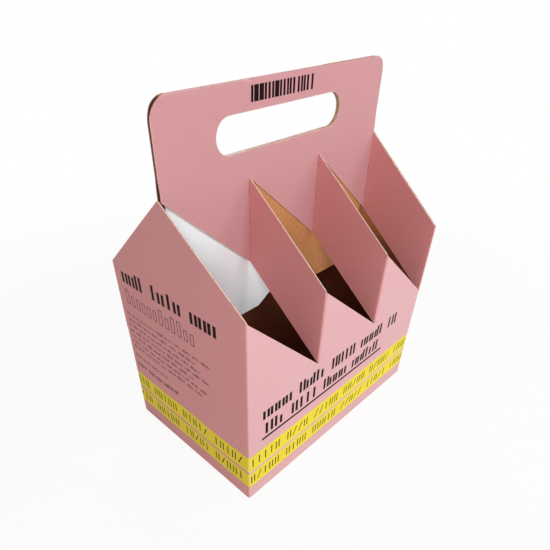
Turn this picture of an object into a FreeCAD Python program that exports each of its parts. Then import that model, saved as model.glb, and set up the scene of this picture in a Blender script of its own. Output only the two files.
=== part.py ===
import FreeCAD, Part
import os

# Six-bottle carrier folded from one sheet of cardboard: four walls, a carry handle down the
# middle, and dividers cut out of the handle and wall panels. Millimetres, +Z up, +X along the
# length, front towards -Y. The origin is the middle of the base.
# The rear half is the front half turned half a turn about Z.

# Driving dimensions
length = 200.0
depth = 132.0
board = 0.8
cells_along = 3
gable_peak = 200.0
gable_drop = 47.0
divider_drop = 3.0
cut_slope = 0.83
handle_rise = 47.0
handle_corner_radius = 11.0
slot_length = 110.0
slot_height = 20.0
slot_margin = 15.2
slot_offset = -3.0
flap_length = 145.5
flap_foot_length = 71.6
flap_chamfer_slope = 0.577
flap_side_gap = 5.0
wall_fold_radius = 1.6
divider_fold_radius = 1.2
base_side_gap = 0.4

# Derived sizes
half_length = length / 2
half_depth = depth / 2
cell = length / cells_along
tall_corner = gable_peak - gable_drop
handle_top = gable_peak + handle_rise
handle_half = 2 * board
handle_side = half_length - 2 * board
divider_peak = gable_peak - divider_drop
divider_run = half_depth - handle_half
handle_foot = divider_peak - cut_slope * cell
wall_peak = divider_peak - cut_slope * divider_run
wall_notch = handle_foot - cut_slope * divider_run
slot_radius = slot_height / 2
slot_middle_z = handle_top - slot_margin - slot_radius


def fold_x(number):
    return -half_length + number * cell


def prism(points, move):
    corners = [FreeCAD.Vector(*point) for point in points]
    wire = Part.makePolygon(corners + corners[:1])
    return Part.Face(wire).extrude(FreeCAD.Vector(*move))


def panel_across_y(outline, y_low, y_high):
    # a panel parallel to the front wall, from its outline in X and Z
    return prism([(x, y_low, z) for x, z in outline], (0, y_high - y_low, 0))


def panel_across_x(outline, x_low, x_high):
    # a panel parallel to the gable ends, from its outline in Y and Z
    return prism([(x_low, y, z) for y, z in outline], (x_high - x_low, 0, 0))


def half_turn(shape):
    turned = shape.copy()
    turned.Placement = FreeCAD.Placement(FreeCAD.Vector(), FreeCAD.Rotation(0, 0, 1, 0))
    return turned


def sliver(corner, side_a, side_b, radius, run):
    # what lies between a square corner and the round of the given radius inside it
    base = FreeCAD.Vector(*corner)
    a = FreeCAD.Vector(*side_a) * radius
    b = FreeCAD.Vector(*side_b) * radius
    along = FreeCAD.Vector(*run)
    square = Part.makePolygon([base, base + a, base + a + b, base + b, base])
    block = Part.Face(square).extrude(along)
    rod = Part.makeCylinder(radius, along.Length, base + a + b, along)
    return block.cut(rod)


def upright_sliver(x, y, x_way, y_way, radius, low, high):
    return sliver((x, y, low), (x_way, 0, 0), (0, y_way, 0), radius, (0, 0, high - low))


def lying_sliver(y, z, y_way, z_way, radius, low, high):
    return sliver((low, y, z), (0, y_way, 0), (0, 0, z_way), radius, (high - low, 0, 0))


def saw_tooth(first, peak, foot, last_x):
    # the cut edge from left to right: it falls across each cell and jumps back up at each fold
    points = [first]
    for number in range(1, cells_along):
        points += [(fold_x(number), foot), (fold_x(number), peak)]
    slope = (peak - foot) / cell
    return points + [(last_x, peak - slope * (last_x - fold_x(cells_along - 1)))]


def front_wall():
    top = saw_tooth((-half_length, tall_corner), wall_peak, wall_notch, half_length)
    outline = [(half_length, 0), (-half_length, 0)] + top
    return panel_across_y(outline, -half_depth, -half_depth + board)


def left_gable():
    # a full-width end, its front shoulder higher than its rear one
    outline = [(-half_depth, 0), (half_depth, 0), (half_depth, wall_peak)]
    outline += [(0, gable_peak), (-half_depth, tall_corner)]
    return panel_across_x(outline, -half_length, -half_length + board)


def divider_outline(top_at_handle):
    return [(-half_depth, wall_notch), (-half_depth, wall_peak),
            (-handle_half, top_at_handle), (-handle_half + board, top_at_handle),
            (-handle_half + board, handle_foot), (-handle_half, handle_foot)]


def front_dividers():
    outline = divider_outline(divider_peak)
    return [panel_across_x(outline, fold_x(number), fold_x(number) + board)
            for number in range(1, cells_along)]


def right_lining():
    # the last divider strip lies flat against the inside of the right gable, their tops in line
    roof_slope = (gable_peak - wall_peak) / half_depth
    outline = divider_outline(gable_peak - roof_slope * handle_half)
    return panel_across_x(outline, handle_side, handle_side + board)


def handle_layer():
    # its first cut starts at the gable's peak, the others at the tops of the dividers
    first_slope = (gable_peak - handle_foot) / cell
    first = (-handle_side, gable_peak - first_slope * (half_length - handle_side))
    edge = saw_tooth(first, divider_peak, handle_foot, handle_side)
    outline = edge + [(handle_side, handle_top), (-handle_side, handle_top)]
    return panel_across_y(outline, -handle_half, -handle_half + board)


def front_flap():
    # folded down inside the handle from its top edge, to part the front cells from the rear
    left = fold_x(1)
    right = half_length - flap_side_gap
    foot = handle_top - flap_length
    chamfer = right - flap_foot_length
    shoulder = foot + flap_chamfer_slope * (chamfer - left)
    outline = [(left, handle_top), (left, shoulder), (chamfer, foot)]
    outline += [(right, foot), (right, handle_top)]
    return panel_across_y(outline, -board, 0)


def base_panel():
    side = half_length - board - base_side_gap
    return Part.makeBox(2 * side, depth, board, FreeCAD.Vector(-side, -half_depth, 0))


def fold_rounds():
    # the rounds of the folds: what is filled on the inside and what is trimmed on the outside
    inner = wall_fold_radius - board
    wall_in = half_depth - board
    end_in = half_length - board
    base_side = end_in - base_side_gap
    doubled = wall_notch + 3 * board
    filled = [upright_sliver(-end_in, -wall_in, 1, 1, inner, 0, tall_corner - 1),
              upright_sliver(end_in, -wall_in, -1, 1, inner, 0, wall_notch - 1),
              lying_sliver(-wall_in, board, 1, 1, inner, -base_side, base_side)]
    trimmed = [upright_sliver(-half_length, -half_depth, 1, 1, wall_fold_radius, 0, gable_peak),
               upright_sliver(half_length, -half_depth, -1, 1, wall_fold_radius, 0, doubled),
               upright_sliver(half_length, -half_depth, -1, 1, board, doubled, gable_peak),
               upright_sliver(handle_side, -half_depth, 1, 1, board, doubled, gable_peak),
               lying_sliver(-half_depth, 0, 1, 1, wall_fold_radius, -base_side, base_side)]
    for number in range(1, cells_along):
        x = fold_x(number)
        filled.append(upright_sliver(x + board, -wall_in, 1, 1, divider_fold_radius - board,
                                     wall_notch, wall_peak - 1))
        trimmed.append(upright_sliver(x, -half_depth, 1, 1, divider_fold_radius,
                                      wall_notch, gable_peak))
    return filled, trimmed


def handle_top_fold():
    # the flap and its handle layer are one sheet, bent over double along the top
    left = fold_x(1)
    right = handle_side - handle_corner_radius
    return [lying_sliver(-handle_half, handle_top, 1, -1, board, left, right),
            lying_sliver(0, handle_top, -1, -1, board, left, right)]


def handle_corner_cuts():
    cuts = []
    for side in (-1, 1):
        cuts.append(sliver((side * handle_side, -depth, handle_top), (-side, 0, 0), (0, 0, -1),
                           handle_corner_radius, (0, 2 * depth, 0)))
    return cuts


def hand_slot():
    straight = slot_length - slot_height
    start = slot_offset - straight / 2
    slot = Part.makeBox(straight, depth, slot_height,
                        FreeCAD.Vector(start, -half_depth, slot_middle_z - slot_radius))
    for x in (start, start + straight):
        end = FreeCAD.Vector(x, -half_depth, slot_middle_z)
        slot = slot.fuse(Part.makeCylinder(slot_radius, depth, end, FreeCAD.Vector(0, 1, 0)))
    return slot


def folded_carton():
    filled, trimmed = fold_rounds()
    added = [left_gable(), right_lining(), handle_layer(), front_flap()]
    added += front_dividers() + filled
    trimmed += handle_top_fold()
    carton = front_wall().fuse(added + [half_turn(front_wall()), base_panel()]
                               + [half_turn(piece) for piece in added])
    carton = carton.cut(trimmed + [half_turn(piece) for piece in trimmed])
    return carton.cut(handle_corner_cuts() + [hand_slot()]).removeSplitter()


def main():
    os.makedirs("parts", exist_ok=True)
    shape = folded_carton()
    box = shape.BoundBox
    print("solids", len(shape.Solids), "valid", shape.isValid(), "volume", round(shape.Volume))
    print("box", [round(value, 2) for value in (box.XMin, box.YMin, box.ZMin, box.XMax, box.YMax,
                                                box.ZMax)])
    print("wall peak", round(wall_peak, 2), "wall notch", round(wall_notch, 2),
          "handle foot", round(handle_foot, 2))
    shape.exportStep("parts/folded_carton.step")


main()
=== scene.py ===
import math
import bpy
import bmesh
import numpy as np
from mathutils import Matrix, Vector, noise
from mathutils.geometry import delaunay_2d_cdt


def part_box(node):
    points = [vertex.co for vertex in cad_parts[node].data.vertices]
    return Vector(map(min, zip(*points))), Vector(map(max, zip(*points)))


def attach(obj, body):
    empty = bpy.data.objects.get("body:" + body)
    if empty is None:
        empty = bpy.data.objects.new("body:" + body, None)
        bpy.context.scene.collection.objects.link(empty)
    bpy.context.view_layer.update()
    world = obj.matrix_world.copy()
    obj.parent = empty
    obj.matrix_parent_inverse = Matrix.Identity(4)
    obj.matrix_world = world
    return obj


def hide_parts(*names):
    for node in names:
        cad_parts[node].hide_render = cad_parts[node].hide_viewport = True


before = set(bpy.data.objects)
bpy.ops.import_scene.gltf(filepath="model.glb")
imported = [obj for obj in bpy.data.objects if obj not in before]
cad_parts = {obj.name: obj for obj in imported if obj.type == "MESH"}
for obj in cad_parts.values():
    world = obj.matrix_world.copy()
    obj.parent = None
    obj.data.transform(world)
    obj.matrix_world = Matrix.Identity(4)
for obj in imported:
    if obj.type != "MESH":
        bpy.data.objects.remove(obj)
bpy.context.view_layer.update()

# The carton is one printed sheet, cut, folded and glued. Its printed side is laid out here panel by
# panel, in metres, and thickness is added inwards at the end. The rear half is the front half turned
# half a turn about Z.

low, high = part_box("folded_carton")
halfLength = high.x
halfDepth = high.y
handleTop = high.z

carton = {
    "board": 0.00068,  # thickness of the sheet
    "cells": 3,  # bottles in each row
    "gablePeak": 0.200,  # top of the two ends, at the handle
    "tallCorner": 0.153,  # the higher shoulder of each end
    "dividerPeak": 0.197,  # top of the dividers, at the handle
    "cutSlope": 0.83,  # fall of every slanting cut
    "handleFace": 0.0016,  # printed face of the handle, from the middle
    "handleSide": 0.0984,  # half the width of the handle
    "handleCorner": 0.011,  # radius of the handle's upper corners
    "wallFold": 0.0016,  # outer radius of the folds at the corners
    "dividerFold": 0.0012,  # and of those between dividers and walls
    "innerFold": 0.0004,  # radius of the folds between dividers and handle
    "flapFace": 0.00005,  # white face of each middle flap, from the middle
    "liningFace": 0.0984,  # printed face of the lining strips inside the ends
    "hairpin": 0.0008,  # radius of a sheet folded back on itself
    "slotLength": 0.110,
    "slotHeight": 0.020,
    "slotMiddle": (-0.003, 0.2218),
    "flapFoot": 0.1015,  # lower edge of the middle flaps
    "flapSide": 0.095,  # their straight side, towards the carton's end
    "flapShoulder": 0.154,  # height where their slanting edge meets the other side
    "flapBend": (0.0, 0.115),  # where the slanting edge turns steeper
    "flapFootStart": 0.0234,  # where the slanting edge meets the lower edge
    "baseGap": 0.00004,  # between the base and the ends
    "step": 0.0042,  # size of the triangles in a panel
    "rowStep": 0.87,  # between rows of them, as a share of their size
    "rowClear": 0.55,  # and between them and the panel's edges
    "edgeStep": 0.0028,  # size of the triangles along edges and folds
    "foldColumns": 6,  # columns of triangles across a fold, and two other kinds
    "hairpinColumns": 8,
    "tuckColumns": 3,
    "slotTurns": 20,  # points round each end of the hand slot, and two other corners
    "handleTurns": 14,
    "flapTurns": 9,
    "earTurns": (1.4, 0.785, 0.0),  # angles of the points at the base's corners
    "samePoint": 1e-7,  # points of a panel closer than this are one
    "weld": 0.000008,  # and so are points of different panels this near
    "sharpAngle": 38,  # degrees between two faces that show an edge
}

sides = {"print": 0, "white": 1, "kraft": 2, "cutEdge": 3}  # the order of the sheet's four materials

# The print layout has a shelf for each kind of panel, so that none overlap: metres added to the height.
shelves = {"handle": 1, "dividers": 2, "flaps": 3, "base": -1}

cell = 2 * halfLength / carton["cells"]
handleFoot = carton["dividerPeak"] - carton["cutSlope"] * cell
dividerRun = halfDepth - carton["handleFace"]
wallPeak = carton["dividerPeak"] - carton["cutSlope"] * dividerRun
wallNotch = handleFoot - carton["cutSlope"] * dividerRun
roofSlope = (carton["gablePeak"] - wallPeak) / halfDepth
tallSlope = (carton["gablePeak"] - carton["tallCorner"]) / halfDepth
firstWallSlope = (carton["tallCorner"] - wallNotch) / cell
firstHandleSlope = (carton["gablePeak"] - handleFoot) / cell


def foldX(number):
    return -halfLength + number * cell


def spread(start, end):
    # points from start up to, but without, end
    start, end = Vector(start), Vector(end)
    count = max(1, round((end - start).length / carton["edgeStep"]))
    return [start.lerp(end, i / count) for i in range(count)]


def openRun(corners):
    # points from the first corner up to, but without, the last one
    points = []
    for here, there in zip(corners, corners[1:]):
        points += spread(here, there)
    return points


def closedOutline(corners):
    return openRun(corners + corners[:1])


def arcPoints(middle, radius, first, last, count):
    # without its last point
    angles = [first + (last - first) * i / count for i in range(count)]
    return [Vector((middle[0] + radius * math.cos(a), middle[1] + radius * math.sin(a))) for a in angles]


def insideOutline(outline, spots):
    # true for each spot that lies in the outline
    inside = np.zeros(len(spots), bool)
    x, y = spots[:, 0], spots[:, 1]
    for here, there in zip(outline, outline[1:] + outline[:1]):
        if here[1] == there[1]:
            continue
        crosses = (here[1] > y) != (there[1] > y)
        edgeX = here[0] + (y - here[1]) * (there[0] - here[0]) / (there[1] - here[1])
        inside ^= crosses & (x < edgeX)
    return inside


def clearOf(outline, spots, gap):
    # true for each spot at least the gap away from every outline point
    edge = np.array([tuple(p) for p in outline])
    return np.sqrt(((spots[:, None] - edge[None]) ** 2).sum(2)).min(1) > gap


def fillSpots(outline, holes, step):
    # staggered rows of points inside a panel, a little clear of its edges
    edge = np.array([tuple(p) for p in outline])
    lowest, highest = edge.min(0), edge.max(0)
    rows = np.arange(lowest[1] + step / 2, highest[1], step * carton["rowStep"])
    spots = []
    for number, y in enumerate(rows):
        xs = np.arange(lowest[0] + step * (0.5 if number % 2 else 1.0), highest[0], step)
        spots += [(x, y) for x in xs]
    spots = np.array(spots)
    gap = step * carton["rowClear"]
    keep = insideOutline(outline, spots) & clearOf(outline, spots, gap)
    for hole in holes:
        keep &= ~insideOutline(hole, spots) & clearOf(hole, spots, gap)
    return [Vector(spot) for spot in spots[keep]]


def addPanel(sheet, outline, place, holes=(), extra=None, side=sides["print"]):
    # triangles a flat outline and puts each corner in its place on the carton
    points, edges = [], []
    for ring in [outline] + list(holes):
        first = len(points)
        points += ring
        count = len(ring)
        edges += [(first + i, first + (i + 1) % count) for i in range(count)]
    points += fillSpots(outline, holes, carton["step"]) if extra is None else extra
    flat, _, faces, _, _, _ = delaunay_2d_cdt(points, edges, [], 1, carton["samePoint"])
    middles = [tuple(sum((flat[i] for i in face), Vector((0, 0))) / len(face)) for face in faces]
    keep = np.ones(len(faces), bool)
    for hole in holes:
        keep &= ~insideOutline(hole, np.array(middles))
    placed = [place(p[0], p[1]) for p in flat]
    corners = [sheet["mesh"].verts.new(spot) for spot, _, _ in placed]
    for i, (_, _, crease) in enumerate(placed):
        corners[i][sheet["crease"]] = crease
    for face, kept in zip(faces, keep):
        if kept:
            made = sheet["mesh"].faces.new([corners[i] for i in face])
            made.material_index = side
            for loop, i in zip(made.loops, face):
                loop[sheet["layout"]].uv = placed[i][1]
    for corner in corners:
        if not corner.link_faces:
            sheet["mesh"].verts.remove(corner)


def addFold(sheet, first, last, columns, place):
    # a bent strip: first and last are the (low, high) ends of its two long sides
    step = carton["edgeStep"]
    width = columns * step
    shares = [i / columns for i in range(columns + 1)]
    ends = [[start + (end - start) * share for start, end in zip(first, last)] for share in shares]
    bottom = [Vector((i * step, ends[i][0])) for i in range(columns)]
    top = [Vector((i * step, ends[i][1])) for i in range(columns, 0, -1)]
    outline = bottom + spread((width, ends[-1][0]), (width, ends[-1][1]))
    outline += top + spread((0, ends[0][1]), (0, ends[0][0]))
    extra = []
    for i in range(1, columns):
        x = i * step
        extra += spread((x, ends[i][0]), (x, ends[i][1]))[1:]
    addPanel(sheet, outline, lambda x, z: place(x / width, z), extra=extra)


def turned(spot, half):
    # half is 1 for the front half and -1 for the rear one
    return Vector((spot[0] * half, spot[1] * half, spot[2]))


def layoutAt(along, z, half):
    # print layout: metres round the carton from its front left corner, and height
    return (along + (0 if half > 0 else 2 * halfLength + 2 * halfDepth), z)


def creaseOf(share):
    return math.sin(math.pi * min(max(share, 0), 1))


def addFrontWall(sheet, half):
    fold, bend = carton["wallFold"], carton["dividerFold"]
    corners = [(-halfLength + fold, fold), (halfLength - fold, fold)]
    corners.append((halfLength - fold, wallNotch + carton["cutSlope"] * fold))
    for number in range(carton["cells"] - 1, 0, -1):
        x = foldX(number)
        corners += [(x + bend, wallPeak - carton["cutSlope"] * bend), (x + bend, wallNotch), (x, wallNotch)]
    corners.append((-halfLength + fold, carton["tallCorner"] - firstWallSlope * fold))

    def place(x, z):
        return turned((x, -halfDepth, z), half), layoutAt(x + halfLength, z, half), 0

    addPanel(sheet, closedOutline(corners), place)


def addLeftGable(sheet, half):
    fold, pin = carton["wallFold"], carton["hairpin"]
    corners = [(-halfDepth + fold, 0), (halfDepth - fold, 0), (halfDepth - fold, wallNotch)]
    corners += [(halfDepth - pin, wallNotch), (halfDepth - pin, wallPeak + roofSlope * pin)]
    corners += [(0, carton["gablePeak"]), (-halfDepth + fold, carton["tallCorner"] + tallSlope * fold)]

    def place(y, z):
        return turned((-halfLength, y, z), half), layoutAt(-y - halfDepth, z, half), 0

    addPanel(sheet, closedOutline(corners), place)


def addCornerFolds(sheet, half):
    # the upright folds at the left and right ends of the wall
    fold = carton["wallFold"]

    def placeAt(side):
        def place(share, z):
            turn = share * math.pi / 2
            x = side * (halfLength - fold + fold * math.sin(turn))
            along = halfLength + side * halfLength + side * fold * (2 * share - 1)
            spot = (x, -halfDepth + fold - fold * math.cos(turn), z)
            return turned(spot, half), layoutAt(along, z, half), creaseOf(share)
        return place

    wallTop = carton["tallCorner"] - firstWallSlope * fold
    gableTop = carton["tallCorner"] + tallSlope * fold
    rightTop = wallNotch + carton["cutSlope"] * fold
    addFold(sheet, (fold, wallTop), (0, gableTop), carton["foldColumns"], placeAt(-1))
    addFold(sheet, (fold, rightTop), (0, wallNotch), carton["foldColumns"], placeAt(1))


def addBaseFold(sheet, half):
    fold = carton["wallFold"]
    ends = (-halfLength + fold, halfLength - fold)

    def place(share, x):
        turn = share * math.pi / 2
        spot = (x, -halfDepth + fold - fold * math.cos(turn), fold - fold * math.sin(turn))
        return turned(spot, half), layoutAt(x + halfLength, fold * (1 - 2 * share), half), creaseOf(share)

    addFold(sheet, ends, ends, carton["foldColumns"], place)


def addBase(sheet):
    fold = carton["wallFold"]
    x, y = halfLength - fold, halfDepth - fold
    reach = fold - carton["board"] - carton["baseGap"]  # the base comes up against both ends
    ear = [(0, 0)] + [(reach * math.cos(turn), reach * math.sin(turn)) for turn in carton["earTurns"]]
    corners = []
    for side, half in ((1, -1), (1, 1), (-1, 1), (-1, -1)):
        run = ear if side * half < 0 else ear[::-1]
        corners += [(side * (x + u), half * (y + v)) for u, v in run]

    def place(u, v):
        return Vector((u, v, 0)), (u, v + shelves["base"]), 0

    addPanel(sheet, closedOutline(corners), place)


def addHandleBend(sheet, x, half, first, last):
    # the tight inward fold where a strip meets the handle
    tuck = carton["innerFold"]

    def handleBend(share, z):
        turn = share * math.pi / 2
        spot = (x - tuck + tuck * math.cos(turn), tuck * math.sin(turn) - carton["handleFace"] - tuck, z)
        return turned(spot, half), (-share * tuck, z + shelves["dividers"]), -creaseOf(share)

    addFold(sheet, first, last, carton["tuckColumns"], handleBend)


def addDivider(sheet, number, half):
    # a strip cut from the sheet, folded back from the wall to the handle
    x = foldX(number)
    bend, tuck, slope = carton["dividerFold"], carton["innerFold"], carton["cutSlope"]
    front, back = -halfDepth + bend, -carton["handleFace"] - tuck

    def onDivider(y, z):
        return turned((x, y, z), half), (y, z + shelves["dividers"]), 0

    def wallBend(share, z):
        turn = share * math.pi / 2
        spot = (x + bend - bend * math.sin(turn), -halfDepth + bend - bend * math.cos(turn), z)
        layout = (x + halfLength - bend * share, z + shelves["dividers"])
        return turned(spot, half), layout, creaseOf(share)

    frontLow, frontHigh = wallNotch + slope * bend, wallPeak + slope * bend
    backLow, backHigh = handleFoot - slope * tuck, carton["dividerPeak"] - slope * tuck
    corners = [(front, frontLow), (back, backLow), (back, backHigh), (front, frontHigh)]
    addPanel(sheet, closedOutline(corners), onDivider)
    wallEdge = (wallNotch, wallPeak - slope * bend)
    addFold(sheet, wallEdge, (frontLow, frontHigh), carton["foldColumns"], wallBend)
    addHandleBend(sheet, x, half, (backLow, backHigh), (handleFoot + slope * tuck, carton["dividerPeak"]))


def addLining(sheet, half):
    # the last strip, which lies flat against the inside of the end
    x, pin, tuck = carton["liningFace"], carton["hairpin"], carton["innerFold"]
    slope = carton["cutSlope"]
    front, back = -halfDepth + pin, -carton["handleFace"] - tuck
    handleLow = carton["dividerPeak"] - slope * (x - foldX(carton["cells"] - 1))
    handleHigh = carton["gablePeak"] - roofSlope * carton["handleFace"]

    def onLining(y, z):
        return turned((x, y, z), half), (y, z + shelves["dividers"]), 0

    def roundHairpin(share, z):
        turn = share * math.pi
        spot = (halfLength - pin + pin * math.cos(turn), front - pin * math.sin(turn), z)
        return turned(spot, half), (share * pin, z + shelves["dividers"]), creaseOf(share)

    frontLow, frontHigh = wallNotch + slope * pin, wallPeak + roofSlope * pin
    backLow, backHigh = handleLow - slope * tuck, handleHigh - roofSlope * tuck
    corners = [(front, frontLow), (back, backLow), (back, backHigh), (front, frontHigh)]
    addPanel(sheet, closedOutline(corners), onLining)
    addFold(sheet, (wallNotch, frontHigh), (frontLow, frontHigh), carton["hairpinColumns"], roundHairpin)
    addHandleBend(sheet, x, half, (backLow, backHigh), (handleLow + slope * tuck, handleHigh))


def slotRing(half):
    # the hole goes straight through, so the rear half has it the other way round
    middleX, middleZ = carton["slotMiddle"]
    middleX *= half
    radius, count = carton["slotHeight"] / 2, carton["slotTurns"]
    reach = carton["slotLength"] / 2 - radius
    left, right = middleX - reach, middleX + reach
    ring = arcPoints((right, middleZ), radius, -math.pi / 2, math.pi / 2, count)
    ring += spread((right, middleZ + radius), (left, middleZ + radius))
    ring += arcPoints((left, middleZ), radius, math.pi / 2, 3 * math.pi / 2, count)
    return ring + spread((left, middleZ - radius), (right, middleZ - radius))


def addHandle(sheet, half):
    side, tuck, slope = carton["handleSide"], carton["innerFold"], carton["cutSlope"]
    radius, pin, peak = carton["handleCorner"], carton["hairpin"], carton["dividerPeak"]
    start, lastFold = foldX(1), foldX(carton["cells"] - 1)
    liningTop = carton["gablePeak"] - roofSlope * carton["handleFace"]
    cut = [(-side, carton["gablePeak"] - firstHandleSlope * (halfLength - side))]
    for number in range(1, carton["cells"]):
        x = foldX(number)
        cut += [(x - tuck, handleFoot + slope * tuck), (x - tuck, peak), (x, peak)]
    cut += [(side - tuck, peak - slope * (side - lastFold) + slope * tuck), (side - tuck, liningTop)]
    cut += [(side, liningTop), (side, handleTop - radius)]
    outline = openRun(cut)
    bend, count = side - radius, carton["handleTurns"]
    outline += arcPoints((bend, handleTop - radius), radius, 0, math.pi / 2, count)
    foldZ = handleTop - pin
    top = [(bend, handleTop), (bend, foldZ), (start, foldZ), (start, handleTop), (-bend, handleTop)]
    outline += openRun(top)
    outline += arcPoints((-bend, handleTop - radius), radius, math.pi / 2, math.pi, count)
    outline += spread((-side, handleTop - radius), cut[0])

    def onHandle(x, z):
        return turned((x, -carton["handleFace"], z), half), (x + halfLength, z + shelves["handle"]), 0

    addPanel(sheet, outline, onHandle, holes=[slotRing(half)])


def addFlap(sheet, half):
    # folded down inside the handle from its top edge, white side inwards
    side, radius, pin = carton["handleSide"], carton["handleCorner"], carton["hairpin"]
    face, start = carton["flapFace"], foldX(1)
    foldZ, foot, end = handleTop - pin, carton["flapFoot"], carton["flapSide"]
    middle = (side - radius, handleTop - radius)
    flapRadius = end - middle[0]
    cut = [(start, foldZ), (start, carton["flapShoulder"]), carton["flapBend"]]
    cut += [(carton["flapFootStart"], foot), (end, foot), (end, middle[1])]
    outline = openRun(cut)
    outline += arcPoints(middle, flapRadius, 0, math.pi / 2, carton["flapTurns"])
    outline += openRun([(middle[0], middle[1] + flapRadius), (middle[0], foldZ), (start, foldZ)])

    def onFlap(x, z):
        return turned((x, -face, z), half), (x + halfLength, z + shelves["flaps"]), 0

    def overTop(share, x):
        turn = share * math.pi
        reach = (carton["handleFace"] - face) / 2
        spot = (x, -face - reach - reach * math.cos(turn), foldZ + pin * math.sin(turn))
        layout = (x + halfLength, foldZ + pin * share + shelves["handle"])
        return turned(spot, half), layout, creaseOf(share)

    addPanel(sheet, outline, onFlap, holes=[slotRing(half)], side=sides["white"])
    addFold(sheet, (start, middle[0]), (start, middle[0]), carton["hairpinColumns"], overTop)


def smoothStep(value, start, end):
    share = min(max((value - start) / (end - start), 0), 1)
    return share * share * (3 - 2 * share)


relax = {
    "seed": 4,
    "sway": 0.0005,  # slow waviness of the whole sheet
    "swayScale": 9.0,  # waves per metre
    "swayUp": 0.3,  # share of the waviness that goes up and down
    "settled": 0.05,  # height below which the base holds the sheet straight
    "wallBow": 0.0007,  # how far the long walls belly out
    "gableBow": 0.0009,  # how far the ends belly out
    "topBow": 0.4,  # share of the bow that is left along the cut edges
    "heldPower": 8,  # how narrow the strip is that the handle holds straight
    "bowStart": 0.03,
    "outerReach": 0.003,  # what lies this near the outside moves with the walls and ends
    "handlePinch": 0.0006,  # how far each layer is pressed in along the handle's sides
    "pinchStart": 0.0955,  # from here out to the handle's side
    "pinchRise": (0.203, 0.212),
    "handleReach": 0.002,
}


def relaxed(spot):
    # where a point lies on a carton that has been folded by hand
    settle = smoothStep(spot.z, 0.0, relax["settled"])
    wave = noise.noise_vector(spot * relax["swayScale"])
    moved = spot + Vector((wave.x, wave.y, wave.z * relax["swayUp"])) * relax["sway"] * settle
    alongWall = math.cos(math.pi / 2 * min(abs(spot.x) / halfLength, 1))
    alongGable = math.cos(math.pi / 2 * min(abs(spot.y) / halfDepth, 1))
    upWall = math.sin(math.pi * min(spot.z / wallNotch, 1))
    upWall += relax["topBow"] * smoothStep(spot.z, relax["bowStart"], wallNotch)
    reach = relax["outerReach"]
    if abs(spot.y) > halfDepth - reach:
        moved.y += math.copysign(relax["wallBow"] * alongWall * upWall, spot.y)
    if abs(spot.x) > halfLength - reach and abs(spot.y) > reach:
        free = 1 - alongGable ** relax["heldPower"]
        moved.x += math.copysign(relax["gableBow"] * alongGable * upWall * free, spot.x)
    if abs(spot.y) < relax["handleReach"] and spot.z > carton["gablePeak"]:
        pressed = smoothStep(abs(spot.x), relax["pinchStart"], carton["handleSide"])
        pressed *= smoothStep(spot.z, *relax["pinchRise"])
        moved.y -= math.copysign(relax["handlePinch"] * pressed, spot.y)
    return moved


def giveThickness(sheet):
    # adds the kraft side and the cut edges
    mesh, layout = sheet["mesh"], sheet["layout"]
    mesh.normal_update()
    printed = list(mesh.faces)
    rim = [edge for edge in mesh.edges if edge.is_boundary]
    for edge in rim:
        for corner in edge.verts:
            corner[sheet["cut"]] = 1
    inner = {}
    for corner in list(mesh.verts):
        made = mesh.verts.new(corner.co - corner.normal * carton["board"])
        for name in ("crease", "cut"):
            made[sheet[name]] = corner[sheet[name]]
        made[sheet["ply"]] = 1
        inner[corner] = made
    for face in printed:
        back = mesh.faces.new([inner[corner] for corner in reversed(face.verts)])
        back.material_index = sides["kraft"]
        for loop, source in zip(back.loops, reversed(face.loops)):
            loop[layout].uv = source[layout].uv
    for edge in rim:
        loop = edge.link_loops[0]
        a, b = loop.vert, loop.link_loop_next.vert
        band = mesh.faces.new([b, a, inner[a], inner[b]])
        band.material_index = sides["cutEdge"]
        nextSpot, spot = loop.link_loop_next[layout].uv.copy(), loop[layout].uv.copy()
        for corner, uv in zip(band.loops, (nextSpot, spot, spot, nextSpot)):
            corner[layout].uv = uv


def foldCarton():
    mesh = bmesh.new()
    sheet = {
        "mesh": mesh,
        "layout": mesh.loops.layers.uv.new("PrintLayout"),
        "crease": mesh.verts.layers.float.new("crease"),
        "cut": mesh.verts.layers.float.new("cutEdge"),
        "ply": mesh.verts.layers.float.new("ply"),
    }
    for half in (1, -1):
        addFrontWall(sheet, half)
        addLeftGable(sheet, half)
        addCornerFolds(sheet, half)
        addBaseFold(sheet, half)
        for number in range(1, carton["cells"]):
            addDivider(sheet, number, half)
        addLining(sheet, half)
        addHandle(sheet, half)
        addFlap(sheet, half)
    addBase(sheet)
    bmesh.ops.remove_doubles(mesh, verts=mesh.verts, dist=carton["weld"])
    bmesh.ops.recalc_face_normals(mesh, faces=mesh.faces)
    mesh.normal_update()
    wallFace = min(mesh.faces, key=lambda face: face.calc_center_median().y)
    if wallFace.normal.y > 0:
        bmesh.ops.reverse_faces(mesh, faces=mesh.faces)
    badEdges = sum(not edge.is_manifold and not edge.is_boundary for edge in mesh.edges)
    print("sheet laid out", len(mesh.faces), "faces,", badEdges, "bad edges")
    noise.seed_set(relax["seed"])
    for corner in mesh.verts:
        corner.co = relaxed(corner.co)
    giveThickness(sheet)
    for face in mesh.faces:
        face.smooth = True
    data = bpy.data.meshes.new("printed_carton")
    mesh.to_mesh(data)
    mesh.free()
    data.set_sharp_from_angle(angle=math.radians(carton["sharpAngle"]))
    piece = bpy.data.objects.new("printed_carton", data)
    bpy.context.scene.collection.objects.link(piece)
    return piece


printedCarton = foldCarton()
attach(printedCarton, "root")
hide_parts("folded_carton")
print("carton folded", len(printedCarton.data.polygons), "faces")


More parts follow.
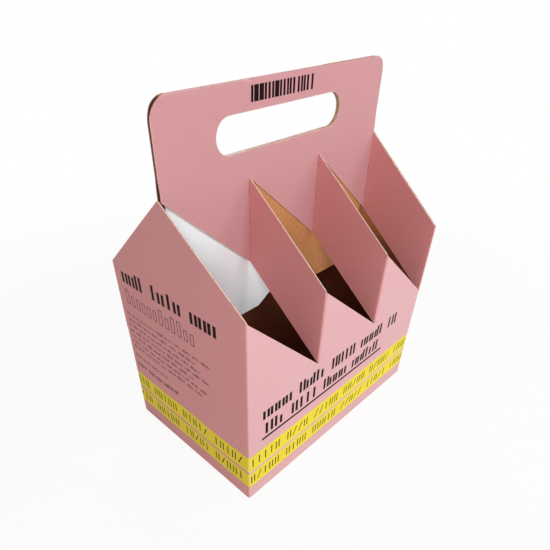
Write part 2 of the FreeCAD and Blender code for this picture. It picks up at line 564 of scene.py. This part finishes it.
finish = {
    # colours as they show, 0 to 255
    "pink": (204, 150, 153),  # on the handle
    "pinkLitOnEnds": (223, 160, 160),
    "pinkLitOnWalls": (224, 177, 180),  # painted light and shade: the one pink print has its own tone on the ends, the walls and the dividers, palest on the two long walls
    "pinkLitOnDividers": (219, 149, 152),
    "yellow": (240, 221, 60),
    "ink": (20, 3, 5),
    "white": (241, 250, 255),
    "kraft": (198, 140, 91),
    "kraftLowShade": (106, 54, 38),  # painted shade on the brown ply low down inside
    "recessShade": (84, 38, 28),  # painted shade in the recess between the handle's layers
    "fibreDark": (152, 100, 62),
    "fibreLight": (222, 180, 134),
    "rubbedAndHighlight": (246, 220, 214),  # where the pink is worn on folds and cut edges, with a painted highlight along them
    "creaseShade": (158, 84, 86),  # painted shade: the pink darkened deep in an inward fold
    "edgeCoat": (250, 228, 214),  # the coated ply, seen on a cut edge
    "edgeCore": (226, 194, 170),
}

# What each side of the board has of its own: blotch, tooth and fibres are amounts, grainRoughness is how
# much the grain changes the roughness, the worn pair is how much wear and painted highlight lie on folds
# and on cut edges, wornRoughness is added there on the print, and bumpDepth is in metres.
surfaces = {
    "print": {"blotch": 0.11, "tooth": 0.05, "roughness": 0.41, "grainRoughness": 0.12, "specular": 0.05,
              "bump": 0.25, "bumpDepth": 0.00006, "wornAndPaintedLight": (0.42, 0.6), "wornRoughness": 0.25},
    "white": {"blotch": 0.07, "tooth": 0.05, "roughness": 0.55, "grainRoughness": 0.12, "specular": 0.15,
              "bump": 0.3, "bumpDepth": 0.00006, "fibres": 0.12},
    "kraft": {"blotch": 0.12, "tooth": 0.16, "roughness": 0.80, "grainRoughness": 0.1, "specular": 0.1,
              "bump": 0.5, "bumpDepth": 0.0001, "fibres": 0.3, "wornAndPaintedLight": (0.25, 0.35)},
    "cutEdge": {"blotch": 0.2, "tooth": 0.35, "roughness": 0.85, "grainRoughness": 0.1, "specular": 0.1,
                "bump": 0.6, "bumpDepth": 0.00012, "fibres": 0.8},
}


def shown(name):
    # a colour as light, from the value that it shows
    parts = [part / 255 for part in finish[name]]
    return [part / 12.92 if part <= 0.04045 else ((part + 0.055) / 1.055) ** 2.4 for part in parts] + [1]


def feed(tree, socket, value):
    # a socket takes another one's output or a plain value
    if isinstance(value, bpy.types.NodeSocket):
        tree.links.new(value, socket)
    else:
        socket.default_value = value


def calc(tree, operation, first, *others):
    # two values, or more one after the other
    for other in others or (None,):
        node = tree.nodes.new("ShaderNodeMath")
        node.operation = operation
        feed(tree, node.inputs[0], first)
        if other is not None:
            feed(tree, node.inputs[1], other)
        first = node.outputs["Value"]
    return first


def plus(tree, *values):
    return calc(tree, "ADD", *values)


def minus(tree, *values):
    return calc(tree, "SUBTRACT", *values)


def times(tree, *values):
    return calc(tree, "MULTIPLY", *values)


def centred(tree, value, amount):
    # a noise value as a change of that amount round zero
    return times(tree, minus(tree, value, 0.5), amount)


def ramp(tree, value, low, high, lowOut=0.0, highOut=1.0):
    node = tree.nodes.new("ShaderNodeMapRange")
    node.interpolation_type = "SMOOTHSTEP"
    for name, part in zip(("Value", "From Min", "From Max", "To Min", "To Max"),
                          (value, low, high, lowOut, highOut)):
        feed(tree, node.inputs[name], part)
    return node.outputs["Result"]


def between(tree, value, low, high, soft=0.08):
    rising = ramp(tree, value, low - soft, low + soft)
    falling = ramp(tree, value, high + soft, high - soft)
    return times(tree, rising, falling)


def inRange(tree, value, low, high):
    # the same with hard limits
    return times(tree, calc(tree, "GREATER_THAN", value, low), calc(tree, "LESS_THAN", value, high))


def mixColour(tree, share, first, second):
    node = tree.nodes.new("ShaderNodeMix")
    node.data_type = "RGBA"
    for number, value in ((0, share), (6, first), (7, second)):  # the colour sockets come after the others
        feed(tree, node.inputs[number], value)
    return node.outputs[2]


def paint(tree, base, *coats):
    # colours laid over the first one, each with the share that it covers
    colour = shown(base)
    for share, name in coats:
        colour = mixColour(tree, share, colour, shown(name))
    return colour


def noiseAt(tree, place, scale, detail=2.0, roughness=0.5):
    node = tree.nodes.new("ShaderNodeTexNoise")
    for name, value in (("Vector", place), ("Scale", scale), ("Detail", detail), ("Roughness", roughness)):
        feed(tree, node.inputs[name], value)
    return node.outputs["Fac"]


def splitVector(tree, vector):
    node = tree.nodes.new("ShaderNodeSeparateXYZ")
    feed(tree, node.inputs["Vector"], vector)
    return node.outputs


def newGroup(name, wanted, given):
    # with named inputs and outputs, all values apart from the place
    group = bpy.data.node_groups.new(name, "ShaderNodeTree")
    for way, labels in (("INPUT", wanted), ("OUTPUT", given)):
        for label in labels:
            kind = "NodeSocketVector" if label == "Place" else "NodeSocketFloat"
            group.interface.new_socket(name=label, in_out=way, socket_type=kind)
    return group, group.nodes.new("NodeGroupInput").outputs, group.nodes.new("NodeGroupOutput").inputs


def useGroup(tree, group, **values):
    node = tree.nodes.new("ShaderNodeGroup")
    node.node_tree = group
    for label, value in values.items():
        feed(tree, node.inputs[label], value)
    return node.outputs


grain = {
    "broad": (24, 3.0, 0.5),  # scale, detail and roughness of each noise
    "middle": (210, 3.0, 0.6),
    "fine": (1900, 2.0, 0.6),
    "toneShares": (0.55, 0.45),  # of broad and middle in the blotches
    "heightShares": (0.7, 0.5),  # of fine and middle in the height
}


def makeBoardGrain():
    # soft blotches and fine tooth of uncoated and printed board
    group, given, out = newGroup("boardGrain", ("Place", "Blotch", "Tooth"), ("Tone", "Height"))
    names = ("broad", "middle", "fine")
    broad, middle, fine = [noiseAt(group, given["Place"], *grain[name]) for name in names]
    broadShare, middleShare = grain["toneShares"]
    cloud = plus(group, times(group, broad, broadShare), times(group, middle, middleShare))
    cloudTone = centred(group, cloud, given["Blotch"])
    fineTone = centred(group, fine, given["Tooth"])
    feed(group, out["Tone"], plus(group, cloudTone, fineTone, 1.0))
    fineShare, middleShare = grain["heightShares"]
    height = plus(group, times(group, fine, fineShare), times(group, middle, middleShare))
    feed(group, out["Height"], height)
    return group


fibres = {
    "stretch": (240, 1500, 1500),
    "turns": ((0.3, 0.2, 0.4), (1.2, 0.5, 1.5), (0.7, 1.4, 2.6)),
    "scales": (1.0, 1.17, 1.34),
    "dark": (0.60, 0.74),  # where the noise turns into a fibre
    "light": (0.42, 0.28),
}


def makeFibres():
    # short paper fibres lying in three directions
    group, given, out = newGroup("paperFibres", ("Place", "Amount"), ("Dark", "Light"))
    strands = []
    for turn, scale in zip(fibres["turns"], fibres["scales"]):
        node = group.nodes.new("ShaderNodeMapping")
        feed(group, node.inputs["Vector"], given["Place"])
        node.inputs["Scale"].default_value = fibres["stretch"]
        node.inputs["Rotation"].default_value = turn
        strands.append(noiseAt(group, node.outputs["Vector"], scale, 1.0))
    dark = ramp(group, calc(group, "MAXIMUM", strands[0], strands[1]), *fibres["dark"])
    light = ramp(group, calc(group, "MINIMUM", strands[1], strands[2]), *fibres["light"])
    feed(group, out["Dark"], times(group, dark, given["Amount"]))
    feed(group, out["Light"], times(group, light, given["Amount"]))
    return group


wearLightShade = {
    "patch": (150, 3.0, 0.65),  # scale, detail and roughness of each noise
    "patchLimits": (0.36, 0.62),
    "patchShare": 0.65,  # the rest is worn everywhere
    "speck": (1100, 2.0, 0.6),
    "speckLimits": (0.38, 0.6),
    "speckShare": 0.4,
    "foldPower": 2.2,  # how narrow the wear on a fold and along a cut edge is
    "edgePower": 16.0,
    "creaseShadeLimits": (-0.2, -0.8),  # inward folds have a crease below zero
}


def makeFoldWearLightShade():
    # where folds and cut edges are worn, with a painted highlight, and the painted shade of the dark line
    # in an inward fold
    wanted = ("Place", "Crease", "Cut", "OnFolds", "OnEdges")
    group, given, out = newGroup("foldWearLightShade", wanted, ("RubbedAndHighlight", "CreaseShade"))
    parts = []
    for name in ("patch", "speck"):
        spots = ramp(group, noiseAt(group, given["Place"], *wearLightShade[name]), *wearLightShade[name + "Limits"])
        share = wearLightShade[name + "Share"]
        parts.append(plus(group, times(group, spots, share), 1 - share))
    patchy = times(group, *parts)
    outward = calc(group, "MAXIMUM", given["Crease"], 0.0)
    foldPart = times(group, calc(group, "POWER", outward, wearLightShade["foldPower"]), given["OnFolds"])
    edgePart = times(group, calc(group, "POWER", given["Cut"], wearLightShade["edgePower"]), given["OnEdges"])
    creaseShade = ramp(group, given["Crease"], *wearLightShade["creaseShadeLimits"])
    feed(group, out["RubbedAndHighlight"], times(group, plus(group, foldPart, edgePart), patchy))
    feed(group, out["CreaseShade"], times(group, creaseShade, patchy))
    return group


# what describes a row of strokes, all in millimetres apart from the shares and the seed
rowLabels = ("From", "To", "Foot", "Tall", "Pitch", "Weight", "Spread", "Short", "Gaps", "Slants", "Hollow",
             "Seed")
tally = {
    "tallFrom": 0.62,  # a stroke whose chance is above this is tall
    "pairFrom": 0.34,  # and one above this is double
    "lean": 0.42,  # sideways for each step up, in a slanting stroke
    "softness": 0.06,  # of the printed edge
    "outline": (-0.5, -0.62),  # where the line of a hollow stroke ends
}


def makeTallyRow():
    # a row of plain strokes in groups
    group, given, out = newGroup("tallyRow", ("Along", "Up") + rowLabels, ("Ink",))
    along = minus(group, given["Along"], given["From"])
    rise = minus(group, given["Up"], given["Foot"])
    steps = calc(group, "DIVIDE", along, given["Pitch"])
    number = calc(group, "FLOOR", steps)
    middle = plus(group, number, 0.5)
    inStep = minus(group, steps, number, 0.5)
    spot = group.nodes.new("ShaderNodeCombineXYZ")
    feed(group, spot.inputs["X"], middle)
    feed(group, spot.inputs["Y"], given["Seed"])
    chance = group.nodes.new("ShaderNodeTexWhiteNoise")
    chance.noise_dimensions = "2D"
    feed(group, chance.inputs["Vector"], spot.outputs["Vector"])
    drawn = group.nodes.new("ShaderNodeSeparateColor")
    feed(group, drawn.inputs["Color"], chance.outputs["Color"])
    beat = plus(group, times(group, middle, given["Gaps"]), given["Seed"])
    filled = calc(group, "GREATER_THAN", calc(group, "FRACT", beat), given["Gaps"])
    isSlant = calc(group, "LESS_THAN", drawn.outputs["Red"], given["Slants"])
    isTall = calc(group, "GREATER_THAN", drawn.outputs["Green"], tally["tallFrom"])
    isPair = calc(group, "GREATER_THAN", drawn.outputs["Blue"], tally["pairFrom"])
    isPair = times(group, isPair, minus(group, 1.0, isSlant))
    fromMid = minus(group, rise, times(group, given["Tall"], 0.5))
    lean = times(group, fromMid, tally["lean"], isSlant)
    across = minus(group, times(group, inStep, given["Pitch"]), lean)
    apart = times(group, given["Spread"], 0.5, isPair)
    fromStroke = calc(group, "ABSOLUTE", minus(group, calc(group, "ABSOLUTE", across), apart))
    tallShare = calc(group, "MAXIMUM", isTall, isSlant, given["Short"])
    halfTop = times(group, given["Tall"], tallShare, 0.5)
    fromMiddle = calc(group, "ABSOLUTE", minus(group, rise, halfTop))
    outSide = minus(group, fromStroke, times(group, given["Weight"], 0.5))
    outTop = minus(group, fromMiddle, halfTop)
    outside = calc(group, "MAXIMUM", outSide, outTop)
    solid = ramp(group, outside, tally["softness"], -tally["softness"])
    inside = ramp(group, outside, *tally["outline"])
    stroke = minus(group, solid, times(group, inside, given["Hollow"]))
    inLimits = times(group, calc(group, "GREATER_THAN", along, 0.0),
                    calc(group, "LESS_THAN", given["Along"], given["To"]))
    feed(group, out["Ink"], times(group, stroke, filled, inLimits))
    return group


boardGrain = makeBoardGrain()
paperFibres = makeFibres()
foldWearLightShade = makeFoldWearLightShade()
tallyRow = makeTallyRow()

# rows of strokes, each in the order of rowLabels
tubeRows = {
    "wallFirst": (12.5, 168.0, 73.0, 10.0, 7.068, 2.4, 4.0, 0.74, 0.19, 0.0, 0.0, 3.30),
    "wallSecond": (13.0, 151.6, 58.6, 10.0, 6.93, 2.4, 4.0, 0.74, 0.19, 0.0, 0.0, 11.45),
    "heading": (-123.0, -24.6, 131.2, 11.2, 8.2, 2.8, 4.5, 0.74, 0.21, 0.0, 0.0, 5.40),
    "outlined": (-123.5, -45.5, 114.0, 12.0, 6.5, 3.8, 0.0, 0.72, 0.0, 0.0, 1.0, 8.3),
    "line": (-126.0, -83.0, 64.2, 2.4, 1.9, 0.55, 0.85, 0.7, 0.17, 0.0, 0.0, 21.3),
    "boldLine": (-126.0, -74.0, 55.0, 3.0, 2.2, 0.8, 1.05, 0.75, 0.11, 0.0, 0.0, 27.3),
}
bandRows = {
    "upper": (-400.0, 700.0, 34.2, 7.9, 6.07, 1.0, 2.9, 1.0, 0.17, 0.12, 0.0, 14.0),
    "lower": (-400.0, 700.0, 17.0, 7.9, 6.07, 1.0, 2.9, 1.0, 0.17, 0.12, 0.0, 35.0),
}
handleMark = (68.5, 123.1, 235.9, 8.0, 4.2, 1.85, 2.45, 1.0, 0.0, 0.0, 0.0, 2.3)
blockRow = (-126.0, -35.0, 1.2, 2.3, 1.75, 0.5, 0.8, 0.7, 0.18, 0.0, 0.0, 0.0)  # each row of the block
printing = {  # in millimetres
    "bands": ((13.5, 28.0), (30.5, 45.5)),
    "underline": (12.0, 152.0, 54.3, 56.2),
    "block": (72.0, 107.5, 5.0),  # foot, top and height of a row
    "blockEnds": (-43.0, 2.4, 9.0),  # where its rows end, and how the ends differ
    "blockSeed": (60.0, 1.31),
    "tube": (-50.0, 500.0),  # heights on the layout that are the walls and ends
}


def rowInk(tree, along, up, row, **changes):
    return useGroup(tree, tallyRow, Along=along, Up=up, **(dict(zip(rowLabels, row)) | changes))["Ink"]


def blockInk(tree, along, up):
    # thin rows of strokes with ragged ends
    foot, top, height = printing["block"]
    fromFoot = minus(tree, up, foot)
    line = calc(tree, "FLOOR", calc(tree, "DIVIDE", fromFoot, height))
    inLine = minus(tree, fromFoot, times(tree, line, height))
    end, turn, swing = printing["blockEnds"]
    ragged = times(tree, calc(tree, "SINE", times(tree, line, turn)), swing)
    first, step = printing["blockSeed"]
    seed = times(tree, plus(tree, line, first), step)
    rows = rowInk(tree, along, inLine, blockRow, Seed=seed, To=plus(tree, ragged, end))
    return times(tree, rows, inRange(tree, up, foot, top))


def layoutPlace(tree):
    # the print layout in millimetres
    layout = tree.nodes.new("ShaderNodeUVMap")
    layout.uv_map = "PrintLayout"
    parts = splitVector(tree, layout.outputs["UV"])
    return [times(tree, parts[axis], 1000.0) for axis in ("X", "Y")]


def printCoats(tree):
    # each colour of the print, with where it lies on the layout
    around, up = layoutPlace(tree)
    onTube = inRange(tree, up, *printing["tube"])
    wall, end = 2000 * halfLength, 2000 * halfDepth
    turn = calc(tree, "FLOORED_MODULO", plus(tree, around, end), wall + end)
    along = minus(tree, turn, end)  # the left end is below 0, the wall above
    yellow = plus(tree, *[between(tree, up, *band) for band in printing["bands"]])
    inks = [rowInk(tree, along, up, row) for row in tubeRows.values()]
    inks += [rowInk(tree, around, up, row) for row in bandRows.values()]
    left, right, foot, top = printing["underline"]
    inks.append(times(tree, between(tree, along, left, right), between(tree, up, foot, top)))
    inks.append(blockInk(tree, along, up))
    mark = rowInk(tree, around, minus(tree, up, 1000.0 * shelves["handle"]), handleMark)
    return [
        # painted light and shade: the ends, the two long walls and the dividers each get their own tone of
        # the one pink print
        (onTube, "pinkLitOnEnds"),
        (times(tree, between(tree, along, 0.0, wall, 0.8), onTube), "pinkLitOnWalls"),
        (calc(tree, "GREATER_THAN", up, 1000.0 * shelves["dividers"] - 100.0), "pinkLitOnDividers"),
        (times(tree, yellow, onTube), "yellow"),
        (calc(tree, "MAXIMUM", times(tree, calc(tree, "MAXIMUM", *inks), onTube), mark), "ink"),
    ]


def startMaterial(name):
    material = bpy.data.materials.new(name)
    material.use_nodes = True
    tree = material.node_tree
    place = tree.nodes.new("ShaderNodeTexCoord").outputs["Object"]
    return material, tree, tree.nodes["Principled BSDF"], place


def readAttribute(tree, name):
    node = tree.nodes.new("ShaderNodeAttribute")
    node.attribute_name = name
    return node.outputs["Fac"]


def boardWearLightShade(tree, place, surface):
    onFolds, onEdges = surface["wornAndPaintedLight"]
    return useGroup(tree, foldWearLightShade, Place=place, Crease=readAttribute(tree, "crease"),
                    Cut=readAttribute(tree, "cutEdge"), OnFolds=onFolds, OnEdges=onEdges)


def finishBoard(tree, shader, place, colour, surface, rubbedAndHighlight=None):
    # the grain tones the colour, and moves the roughness and the bump
    board = useGroup(tree, boardGrain, Place=place, Blotch=surface["blotch"], Tooth=surface["tooth"])
    toned = tree.nodes.new("ShaderNodeVectorMath")
    toned.operation = "SCALE"
    feed(tree, toned.inputs[0], colour)
    feed(tree, toned.inputs["Scale"], board["Tone"])
    feed(tree, shader.inputs["Base Color"], toned.outputs["Vector"])
    roughness = times(tree, board["Height"], surface["grainRoughness"])
    roughness = plus(tree, roughness, surface["roughness"])
    if rubbedAndHighlight:
        roughness = plus(tree, roughness, times(tree, rubbedAndHighlight, surface["wornRoughness"]))
    feed(tree, shader.inputs["Roughness"], roughness)
    shader.inputs["Specular IOR Level"].default_value = surface["specular"]
    bump = tree.nodes.new("ShaderNodeBump")
    bump.inputs["Strength"].default_value = surface["bump"]
    bump.inputs["Distance"].default_value = surface["bumpDepth"]
    feed(tree, bump.inputs["Height"], board["Height"])
    feed(tree, shader.inputs["Normal"], bump.outputs["Normal"])


def makePinkPrint():
    material, tree, shader, place = startMaterial("pinkPrint")
    surface = surfaces["print"]
    wornAndPaintedLight = boardWearLightShade(tree, place, surface)
    # worn folds and cut edges are lighter, wear with a painted highlight, and inward folds get a painted
    # shade
    coats = printCoats(tree) + [(wornAndPaintedLight["RubbedAndHighlight"], "rubbedAndHighlight"), (wornAndPaintedLight["CreaseShade"], "creaseShade")]
    colour = paint(tree, "pink", *coats)
    finishBoard(tree, shader, place, colour, surface, wornAndPaintedLight["RubbedAndHighlight"])
    return material


def makeWhiteSide():
    material, tree, shader, place = startMaterial("whiteSide")
    surface = surfaces["white"]
    strands = useGroup(tree, paperFibres, Place=place, Amount=surface["fibres"])
    colour = paint(tree, "white", (strands["Dark"], "edgeCore"))
    finishBoard(tree, shader, place, colour, surface)
    return material


recessShading = {
    "width": (9.0, 6.0),  # millimetres from the handle's side where the painted shade fades in
    "ragged": 5.0,  # how far its edge wanders
    "raggedScale": 120,
    "shelf": (1100.0, 1500.0),  # heights on the layout that are the handle
    "strength": 0.9,
    "onCutEdge": 0.7,
}


def handleRecessShade(tree, place):
    # painted shade: the strip along the handle's two sides, in the recess between its layers, is darkened
    # on the brown ply
    around, up = layoutPlace(tree)
    fromMiddle = calc(tree, "ABSOLUTE", minus(tree, around, 1000 * halfLength))
    fromEnd = minus(tree, 1000 * carton["handleSide"], fromMiddle)
    ragged = centred(tree, noiseAt(tree, place, recessShading["raggedScale"]), recessShading["ragged"])
    near = ramp(tree, plus(tree, fromEnd, ragged), *recessShading["width"])
    return times(tree, near, inRange(tree, up, *recessShading["shelf"]), recessShading["strength"])


lowShade = {
    "height": (0.092, 0.05),  # where painted shade darkens the brown ply towards the base
    "onEnds": (0.148, 0.108),  # and on the two ends
    "endPly": 0.003,
    "strength": 0.95,
}


def lowInsideShade(tree, place):
    # painted shade: the brown ply is darkened near the base, and from higher up on the two ends
    parts = splitVector(tree, place)
    fromMiddle = calc(tree, "ABSOLUTE", parts["X"])
    isEnd = calc(tree, "GREATER_THAN", fromMiddle, halfLength - lowShade["endPly"])
    endPart = times(tree, isEnd, ramp(tree, parts["Z"], *lowShade["onEnds"]))
    lowPart = ramp(tree, parts["Z"], *lowShade["height"])
    return times(tree, calc(tree, "MAXIMUM", endPart, lowPart), lowShade["strength"])


def makeKraftSide():
    material, tree, shader, place = startMaterial("kraftSide")
    surface = surfaces["kraft"]
    strands = useGroup(tree, paperFibres, Place=place, Amount=surface["fibres"])
    # worn folds and cut edges of the brown ply are lighter: wear, and a painted highlight
    rubbedAndHighlight = boardWearLightShade(tree, place, surface)["RubbedAndHighlight"]
    colour = paint(tree, "kraft", (strands["Dark"], "fibreDark"), (strands["Light"], "fibreLight"),
                   (rubbedAndHighlight, "fibreLight"), (lowInsideShade(tree, place), "kraftLowShade"),
                   (handleRecessShade(tree, place), "recessShade"))
    finishBoard(tree, shader, place, colour, surface)
    return material


cutFace = {
    "wander": (900, 0.35),  # scale and amount of the ply line's unevenness
    "core": (0.3, 0.46),  # how deep the coated ply reaches, as a share of the board
}


def makeCutEdge():
    # a cut edge shows the coated ply over the brown plies
    material, tree, shader, place = startMaterial("rawEdge")
    surface = surfaces["cutEdge"]
    strands = useGroup(tree, paperFibres, Place=place, Amount=surface["fibres"])
    scale, amount = cutFace["wander"]
    uneven = centred(tree, noiseAt(tree, place, scale), amount)
    inCore = ramp(tree, plus(tree, readAttribute(tree, "ply"), uneven), *cutFace["core"])
    # painted shade on the cut edges along the handle's sides
    recessShadeOnEdge = times(tree, handleRecessShade(tree, place), recessShading["onCutEdge"])
    colour = paint(tree, "edgeCoat", (inCore, "edgeCore"), (strands["Dark"], "fibreDark"),
                   (strands["Light"], "edgeCoat"), (recessShadeOnEdge, "recessShade"))
    finishBoard(tree, shader, place, colour, surface)
    return material


for material in (makePinkPrint(), makeWhiteSide(), makeKraftSide(), makeCutEdge()):
    printedCarton.data.materials.append(material)
print("materials made")

studio = {
    "floorHalf": 4.0,
    "floorTone": (0.86, 0.86, 0.87, 1),
    "floorRoughness": 0.7,
    "floorSpecular": 0.2,
    "nearShare": 0.92,  # how much of the floor by the carton is seen as plain white
    "farShare": 1.0,  # and further off
    "nearReach": 0.22,
    "farReach": 0.75,
    "worldTone": (0.97, 0.98, 1.0, 1),
    "worldStrength": 0.08,
    "lamps": (  # name, place, aim, size, watts, colour
        ("key", (-0.80, -0.74, 0.74), (-0.02, 0.0, 0.12), 0.55, 7.6, (1.0, 0.89, 0.85)),
        ("frontLight", (0.08, -0.90, 0.68), (0.0, -0.03, 0.12), 0.45, 3.9, (0.94, 0.98, 1.0)),
        ("rearLight", (0.75, 0.88, 0.72), (0.0, 0.02, 0.10), 0.9, 6.3, (1.0, 0.97, 0.95)),
        ("sideLight", (0.55, -0.50, 0.42), (0.07, -0.04, 0.10), 0.5, 1.6, (0.98, 0.99, 1.0)),
    ),
}


def seenDirectly(tree):
    # 1 where the camera, a mirror image or a view through glass meets the surface
    path = tree.nodes.new("ShaderNodeLightPath")
    rays = ("Is Camera Ray", "Is Glossy Ray", "Is Transmission Ray")
    return calc(tree, "MAXIMUM", *[path.outputs[ray] for ray in rays])


def mixSurface(tree, output, share, lit, plain):
    mixed = tree.nodes.new("ShaderNodeMixShader")
    for socket, value in zip(mixed.inputs, (share, lit, plain)):
        feed(tree, socket, value)
    feed(tree, tree.nodes[output].inputs["Surface"], mixed.outputs["Shader"])


def makeFloor():
    half = studio["floorHalf"]
    data = bpy.data.meshes.new("floor")
    corners = [(-half, -half, 0), (half, -half, 0), (half, half, 0), (-half, half, 0)]
    data.from_pydata(corners, [], [(0, 1, 2, 3)])
    floor = bpy.data.objects.new("floor", data)
    bpy.context.scene.collection.objects.link(floor)
    material, tree, shader, place = startMaterial("paleFloor")
    shader.inputs["Base Color"].default_value = studio["floorTone"]
    shader.inputs["Roughness"].default_value = studio["floorRoughness"]
    shader.inputs["Specular IOR Level"].default_value = studio["floorSpecular"]
    glow = tree.nodes.new("ShaderNodeEmission")
    distance = tree.nodes.new("ShaderNodeVectorMath")
    distance.operation = "LENGTH"
    feed(tree, distance.inputs[0], place)
    plain = ramp(tree, distance.outputs["Value"], studio["nearReach"], studio["farReach"],
                 studio["nearShare"], studio["farShare"])
    mixSurface(tree, "Material Output", times(tree, seenDirectly(tree), plain), shader.outputs["BSDF"],
               glow.outputs["Emission"])
    data.materials.append(material)


def makeWorld():
    world = bpy.data.worlds.new("studio")
    world.use_nodes = True
    tree = world.node_tree
    air = tree.nodes["Background"]
    air.inputs["Color"].default_value = studio["worldTone"]
    air.inputs["Strength"].default_value = studio["worldStrength"]
    backdrop = tree.nodes.new("ShaderNodeBackground")
    backdrop.inputs["Color"].default_value = (1, 1, 1, 1)
    mixSurface(tree, "World Output", seenDirectly(tree), air.outputs["Background"],
               backdrop.outputs["Background"])
    bpy.context.scene.world = world


def makeLamps():
    for name, place, aim, size, watts, colour in studio["lamps"]:
        data = bpy.data.lights.new(name, "AREA")
        data.shape = "DISK"
        data.size = size
        data.energy = watts
        data.color = colour
        lamp = bpy.data.objects.new(name, data)
        lamp.location = place
        lamp.visible_camera = False
        lamp.rotation_euler = (Vector(aim) - Vector(place)).to_track_quat("-Z", "Y").to_euler()
        bpy.context.scene.collection.objects.link(lamp)


makeFloor()
makeWorld()
makeLamps()
print("studio lit")

cameraSetup = {
    "place": (-0.23148, -0.20184, 0.28337),
    "heading": 42.46,  # degrees from +Y towards +X
    "dip": 40.25,  # degrees below level
    "roll": -2.041,
    "lens": 29.407,
    "shift": (0.0673, 0.1727),
    "nearest": 0.01,
}


def addCamera():
    data = bpy.data.cameras.new("camera")
    data.lens = cameraSetup["lens"]
    data.shift_x, data.shift_y = cameraSetup["shift"]
    data.clip_start = cameraSetup["nearest"]
    camera = bpy.data.objects.new("camera", data)
    turn = Matrix.Rotation(math.radians(-cameraSetup["heading"]), 4, "Z")
    turn @= Matrix.Rotation(math.radians(90 - cameraSetup["dip"]), 4, "X")
    turn @= Matrix.Rotation(math.radians(cameraSetup["roll"]), 4, "Z")
    camera.matrix_world = Matrix.Translation(cameraSetup["place"]) @ turn
    bpy.context.scene.collection.objects.link(camera)
    bpy.context.scene.camera = camera


addCamera()
bpy.context.scene.view_settings.view_transform = "Standard"
